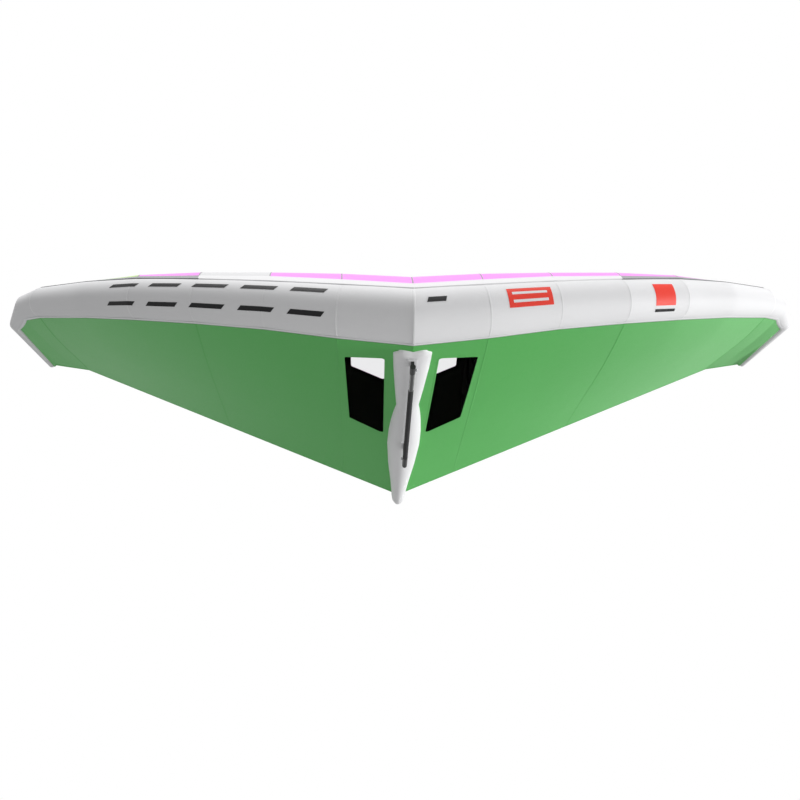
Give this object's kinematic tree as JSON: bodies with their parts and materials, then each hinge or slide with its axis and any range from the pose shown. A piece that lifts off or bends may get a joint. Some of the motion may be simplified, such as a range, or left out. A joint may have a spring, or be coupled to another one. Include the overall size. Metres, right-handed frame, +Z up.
{
  "type": "inflatable hand wing",
  "caption": "Inflatable double-skin hand wing with a round leading edge, a central strut with windows beside it, and a straight boom held in quick-release mounts.",
  "frame": {"origin": "middle of the part's box at its lowest point, under the centre line", "axes": "+X to the right-hand tip, looking from the nose along +Y, +Y from the nose to the trailing edge, +Z up"},
  "size_m": [3.8762, 2.37, 0.7883],
  "materials": {
    "sleeve_cloth": "matte woven polyester",
    "skin_green": "ripstop canopy cloth",
    "skin_pink": "ripstop canopy cloth",
    "skin_lime": "ripstop canopy cloth",
    "skin_white": "ripstop canopy cloth",
    "window_film": "clear film, dark against the inside",
    "rib_cloth": "ripstop canopy cloth",
    "bladder_film": "thin polyurethane film",
    "boom_metal": "anodised dark grey",
    "boom_foam": "moulded foam grip",
    "mount_plastic": "glass-filled nylon",
    "pin_metal": "turned steel",
    "valve_plastic": "moulded polyurethane",
    "zip_tape": "woven tape",
    "zip_plastic": "moulded slider"
  },
  "bodies": {
    "wing": {"air_hose": "bladder_film", "boom_end_plug": "mount_plastic", "boom_grip": "boom_foam", "boom_tube": "boom_metal", "front_mount": "mount_plastic", "front_mount_pad": "sleeve_cloth", "leading_edge_bladder": "bladder_film", "leading_edge_fourth_left": "sleeve_cloth", "leading_edge_fourth_right": "sleeve_cloth", "leading_edge_inner_left": "sleeve_cloth", "leading_edge_inner_right": "sleeve_cloth", "leading_edge_outer_left": "sleeve_cloth", "leading_edge_outer_right": "sleeve_cloth", "leading_edge_second_left": "sleeve_cloth", "leading_edge_second_right": "sleeve_cloth", "leading_edge_third_left": "sleeve_cloth", "leading_edge_third_right": "sleeve_cloth", "leading_edge_tip_left": "sleeve_cloth", "leading_edge_tip_right": "sleeve_cloth", "lower_skin_inner_left": "skin_green", "lower_skin_inner_right": "skin_green", "lower_skin_middle_left": "skin_green", "lower_skin_middle_right": "skin_green", "lower_skin_outer_left": "skin_green", "lower_skin_outer_right": "skin_green", "lower_skin_tip_left": "skin_green", "lower_skin_tip_right": "skin_green", "rear_mount": "mount_plastic", "rear_mount_pad": "sleeve_cloth", "rib_inner_left": "rib_cloth", "rib_inner_right": "rib_cloth", "rib_middle": "rib_cloth", "rib_second_left": "rib_cloth", "rib_second_right": "rib_cloth", "rib_third_left": "rib_cloth", "rib_third_right": "rib_cloth", "strut_bladder": "bladder_film", "strut_sleeve": "sleeve_cloth", "strut_tail_patch": "sleeve_cloth", "upper_skin_fourth_left": "skin_pink", "upper_skin_fourth_right": "skin_pink", "upper_skin_inner_left": "skin_pink", "upper_skin_inner_right": "skin_pink", "upper_skin_second_left": "skin_pink", "upper_skin_second_right": "skin_pink", "upper_skin_third_left": "skin_white", "upper_skin_third_right": "skin_pink", "upper_skin_tip_left": "skin_lime", "upper_skin_tip_right": "skin_pink", "valve_body": "valve_plastic", "window_lower_left": "window_film", "window_lower_right": "window_film", "window_upper_left": "window_film", "window_upper_right": "window_film", "zip_tape": "zip_tape"},
    "front_pin": {"front_release_pin": "pin_metal"},
    "rear_pin": {"rear_release_pin": "pin_metal"},
    "cap": {"valve_cap": "valve_plastic"},
    "check": {"valve_check": "valve_plastic"},
    "slider": {"zip_slider": "zip_plastic"}
  },
  "joints": [
    {"name": "front_pin_pull", "type": "slide", "parent": "wing", "child": "front_pin", "axis": [1, 0, 0], "range_m": [0, 0.024], "stiffness_N_per_m": 250, "springref_m": -0.004},
    {"name": "rear_pin_pull", "type": "slide", "parent": "wing", "child": "rear_pin", "axis": [-1, 0, 0], "range_m": [0, 0.024], "stiffness_N_per_m": 250, "springref_m": -0.004},
    {"name": "valve_cap_hinge", "type": "hinge", "parent": "wing", "child": "cap", "pos_m": [0.41354, -0.96182, 0.46194], "axis": [-0.9765, -0.1677, -0.1355], "range_deg": [0, 110]},
    {"name": "valve_check_slide", "type": "slide", "parent": "wing", "child": "check", "axis": [0.1542, -0.1041, -0.9825], "range_m": [0, 0.005], "stiffness_N_per_m": 150, "springref_m": -0.001},
    {"name": "zip_slide", "type": "slide", "parent": "wing", "child": "slider", "axis": [0.9917, 0.1072, 0.071], "range_m": [0, 0.15]}
  ]
}
